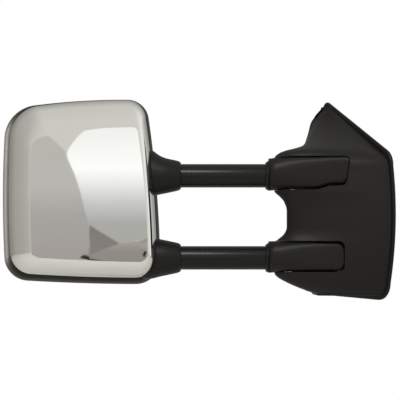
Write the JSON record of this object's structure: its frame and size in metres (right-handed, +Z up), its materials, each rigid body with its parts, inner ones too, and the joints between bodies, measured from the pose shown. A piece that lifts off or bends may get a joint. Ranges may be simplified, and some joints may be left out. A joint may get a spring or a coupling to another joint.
{
  "type": "telescoping towing mirror",
  "caption": "Door mirror for towing: a large plated head slides on twin tubes, which fold on a black door base. Powered main glass over a spotter glass.",
  "frame": {"origin": "centre of the flat back face that lies on the door, between the pivot's two arms", "axes": "+X inboard along the tubes, towards the door; +Y rearward, the way the glass faces; +Z up"},
  "size_m": [0.537, 0.1642, 0.2745],
  "materials": {
    "chrome": "polished",
    "textured_black": "matte",
    "coated_steel": "satin",
    "cast_aluminium": "matte",
    "coated_casting": "satin",
    "inner_plastic": "matte",
    "nylon": "satin",
    "steel": "satin",
    "rubber": "matte",
    "mirror": "polished"
  },
  "bodies": {
    "base": {"base_bracket": "cast_aluminium", "base_shell": "textured_black", "door_gasket": "rubber", "door_stud_1": "steel", "door_stud_2": "steel", "door_stud_3": "steel", "harness_grommet": "rubber", "pivot_bolt": "steel", "pivot_nut": "steel", "upper_detent_ring": "steel", "lower_detent_ring": "steel", "lower_spring_washer": "steel", "upper_spring_washer": "steel", "detent_spring": "steel"},
    "arms": {"upper_arm": "coated_casting", "upper_arm_cover": "textured_black", "upper_pivot_bush": "nylon", "upper_clamp_screw_1": "steel", "upper_clamp_screw_2": "steel", "upper_tube": "coated_steel", "upper_tube_stop": "inner_plastic", "lower_arm": "coated_casting", "lower_arm_cover": "textured_black", "lower_pivot_bush": "nylon", "lower_clamp_screw_1": "steel", "lower_clamp_screw_2": "steel", "lower_tube": "coated_steel", "lower_tube_stop": "inner_plastic"},
    "head": {"head_carrier": "inner_plastic", "chrome_cap": "chrome", "rear_housing": "textured_black", "upper_boot": "rubber", "lower_boot": "rubber", "upper_inner_bush": "nylon", "upper_outer_bush": "nylon", "lower_inner_bush": "nylon", "lower_outer_bush": "nylon", "carrier_screw_1": "steel", "carrier_screw_2": "steel", "carrier_screw_3": "steel", "carrier_screw_4": "steel", "actuator_case": "inner_plastic", "actuator_lid": "inner_plastic", "pan_motor": "steel", "tilt_motor": "steel", "spotter_post": "inner_plastic"},
    "pan_gear": {"pan_gear": "nylon"},
    "tilt_gear": {"tilt_gear": "nylon"},
    "pan_jack": {"pan_jack": "steel"},
    "tilt_jack": {"tilt_jack": "steel"},
    "main_gimbal": {"main_gimbal": "steel"},
    "main_glass": {"main_backing_plate": "inner_plastic", "main_glass": "mirror"},
    "spotter_gimbal": {"spotter_gimbal": "steel"},
    "spotter_glass": {"spotter_backing_plate": "inner_plastic", "spotter_glass": "mirror"}
  },
  "joints": [
    {"name": "fold", "type": "hinge", "parent": "base", "child": "arms", "pos_m": [-0.038, -0.042, 0], "axis": [0, 0, -1], "range_deg": [0, 48]},
    {"name": "telescope", "type": "slide", "parent": "arms", "child": "head", "axis": [1, 0, 0], "range_m": [0, 0.1]},
    {"name": "main_pan", "type": "hinge", "parent": "head", "child": "main_gimbal", "pos_m": [-0.38062, 0.0018, 0.044], "axis": [0, 0, 1], "range_deg": [-6, 6]},
    {"name": "main_tilt", "type": "hinge", "parent": "main_gimbal", "child": "main_glass", "pos_m": [-0.38062, 0.0018, 0.044], "axis": [1, 0, 0], "range_deg": [-6, 6]},
    {"name": "pan_jack_slide", "type": "slide", "parent": "head", "child": "pan_jack", "axis": [0, 1, 0], "range_m": [-0.0032, 0.0032]},
    {"name": "tilt_jack_slide", "type": "slide", "parent": "head", "child": "tilt_jack", "axis": [0, 1, 0], "range_m": [-0.0032, 0.0032]},
    {"name": "pan_gear_spin", "type": "hinge", "parent": "head", "child": "pan_gear", "pos_m": [-0.35062, 0.0018, 0.044], "axis": [0, 1, 0], "range_deg": [-380, 380]},
    {"name": "tilt_gear_spin", "type": "hinge", "parent": "head", "child": "tilt_gear", "pos_m": [-0.38062, 0.0018, 0.014], "axis": [0, 1, 0], "range_deg": [-380, 380]},
    {"name": "spotter_pan", "type": "hinge", "parent": "head", "child": "spotter_gimbal", "pos_m": [-0.38062, 0.0018, -0.0745], "axis": [0, 0, 1], "range_deg": [-6, 6]},
    {"name": "spotter_tilt", "type": "hinge", "parent": "spotter_gimbal", "child": "spotter_glass", "pos_m": [-0.38062, 0.0018, -0.0745], "axis": [1, 0, 0], "range_deg": [-6, 6]}
  ],
  "couplings": [
    {"joint": "pan_jack_slide", "follows": "main_pan", "m_per_rad": 0.03},
    {"joint": "tilt_jack_slide", "follows": "main_tilt", "m_per_rad": 0.03},
    {"joint": "pan_gear_spin", "follows": "main_pan", "ratio": 62.832},
    {"joint": "tilt_gear_spin", "follows": "main_tilt", "ratio": 62.832}
  ]
}
